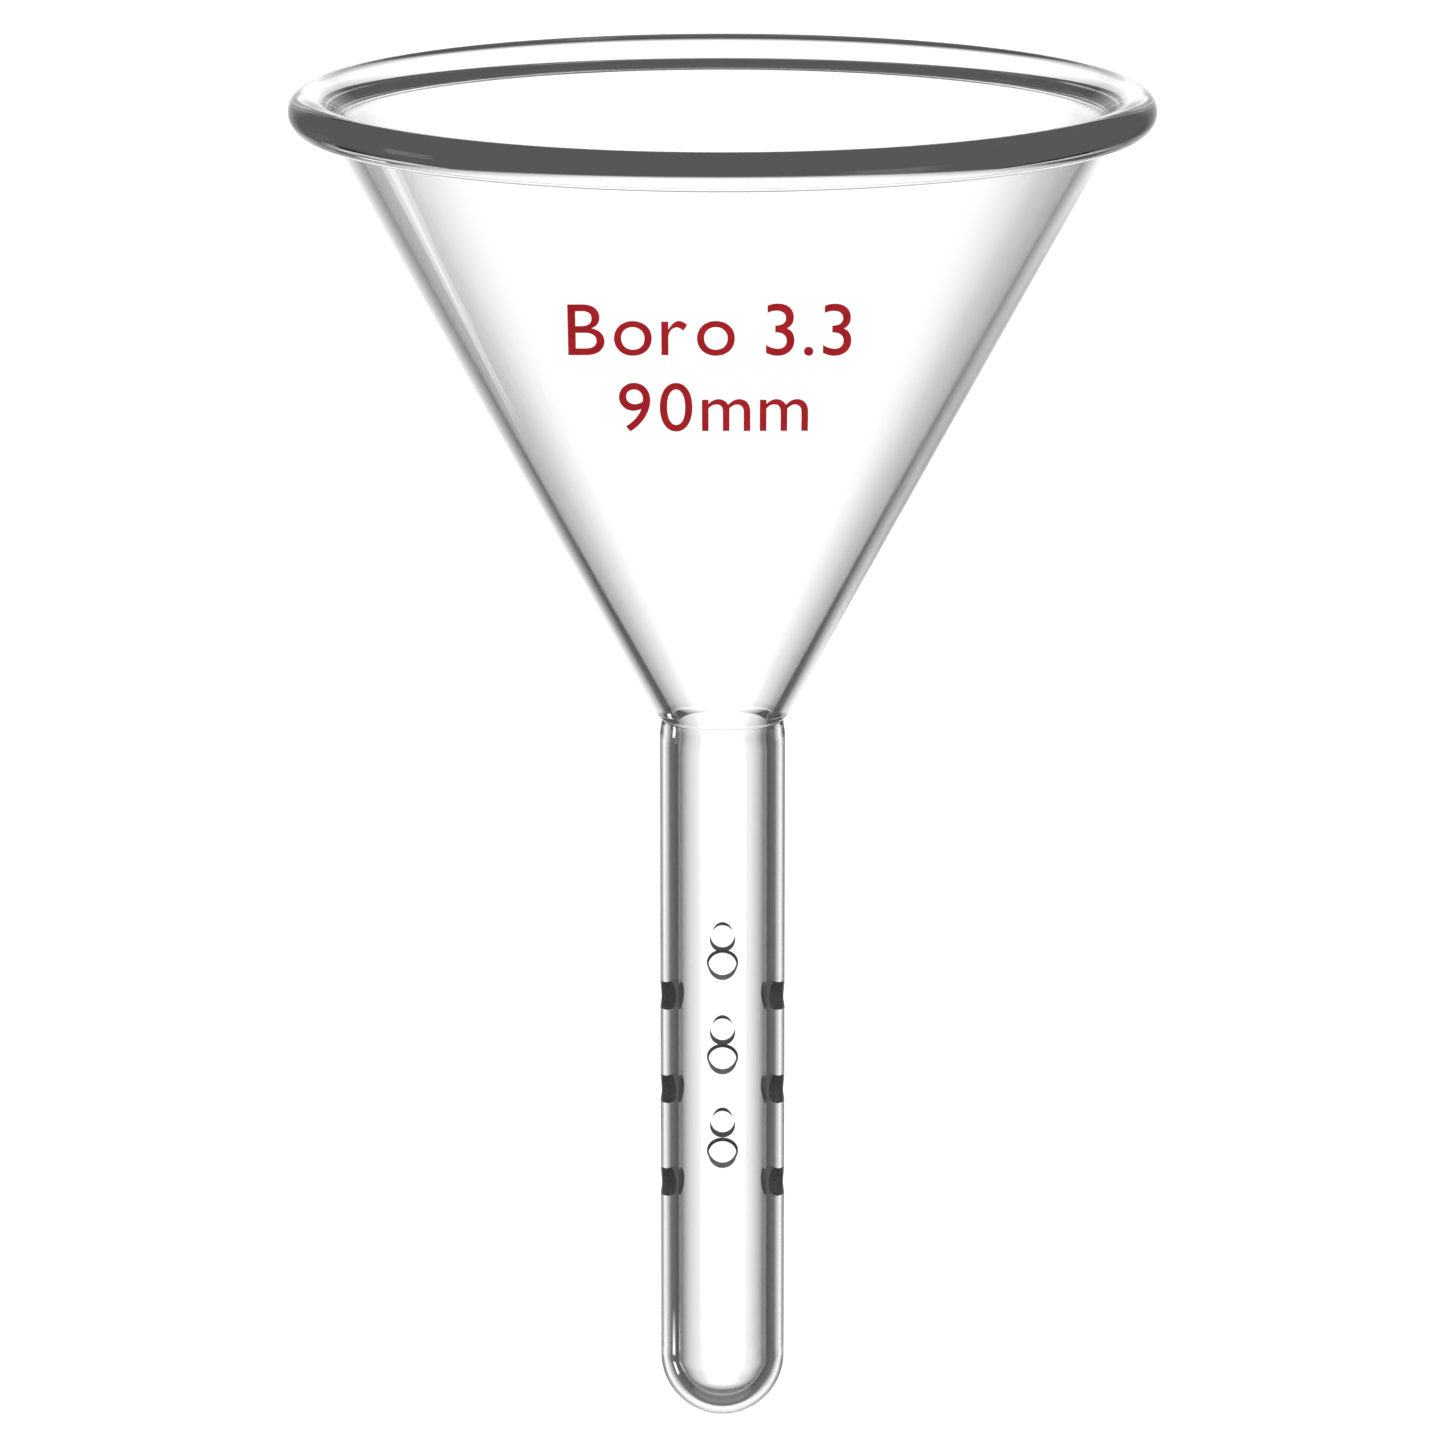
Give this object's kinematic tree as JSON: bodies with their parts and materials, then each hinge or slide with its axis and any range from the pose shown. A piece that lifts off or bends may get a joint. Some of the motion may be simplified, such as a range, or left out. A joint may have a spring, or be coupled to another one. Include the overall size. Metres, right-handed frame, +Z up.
{
  "type": "glass funnel",
  "caption": "Clear glass funnel: a beaded 57 degree cone on a closed, round-bottomed stem drilled through its sides, with small red enamel markings on the cone.",
  "frame": {"origin": "centre of the circle where a 60 mm support ring carries the outside of the cone, on the funnel's axis", "axes": "+Z up along the funnel's axis from the closed stem towards the mouth; the markings face -Y; the upper side hole of each pair of rows faces -Y and +Y, the lower one -X and +X"},
  "size_m": [0.09, 0.09, 0.1447],
  "materials": {
    "clear_glass": "polished clear borosilicate glass, with matt ground walls in the side holes",
    "red_enamel": "fired red enamel, slightly glossy"
  },
  "bodies": {
    "root": {"rim_bead": "clear_glass", "cone": "clear_glass", "throat_seal": "clear_glass", "stem_tube": "clear_glass", "round_end": "clear_glass", "mark_b": "red_enamel", "mark_o_1": "red_enamel", "mark_r": "red_enamel", "mark_o_2": "red_enamel", "mark_3_1": "red_enamel", "mark_point": "red_enamel", "mark_3_2": "red_enamel", "mark_9": "red_enamel", "mark_0": "red_enamel", "mark_m_1": "red_enamel", "mark_m_2": "red_enamel"}
  },
  "joints": []
}
